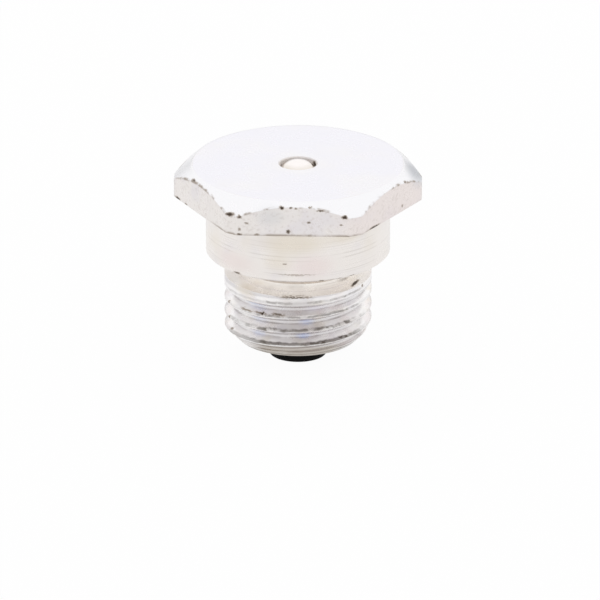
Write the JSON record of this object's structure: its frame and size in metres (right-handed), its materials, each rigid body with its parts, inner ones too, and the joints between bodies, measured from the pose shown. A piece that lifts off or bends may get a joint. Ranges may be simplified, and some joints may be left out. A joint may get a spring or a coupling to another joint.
{
  "type": "grease nipple",
  "caption": "Hexagon-head grease nipple with a flush face, a spring-loaded ball check and a short fine-threaded shank.",
  "frame": {"origin": "on the axis, in the plane of the collar's underside, which seats on the machine", "axes": "+Z along the axis, out of the head; the thread points to -Z; two flats of the hexagon face +Y and -Y"},
  "size_m": [0.0168, 0.015, 0.014],
  "materials": {
    "plated_steel": "zinc plated, as turned",
    "ball_steel": "polished",
    "spring_steel": "drawn wire",
    "black_plastic": "moulded, slightly glossy"
  },
  "bodies": {
    "nipple": {"nipple_body": "plated_steel", "spring_retainer": "black_plastic", "ball_spring": "spring_steel"},
    "ball": {"check_ball": "ball_steel"}
  },
  "joints": [
    {"name": "ball_lift", "type": "slide", "parent": "nipple", "child": "ball", "axis": [0, 0, -1], "range_m": [0, 0.0012], "stiffness_N_per_m": 1880, "springref_m": -0.0005, "deforming": ["ball_spring"]}
  ]
}
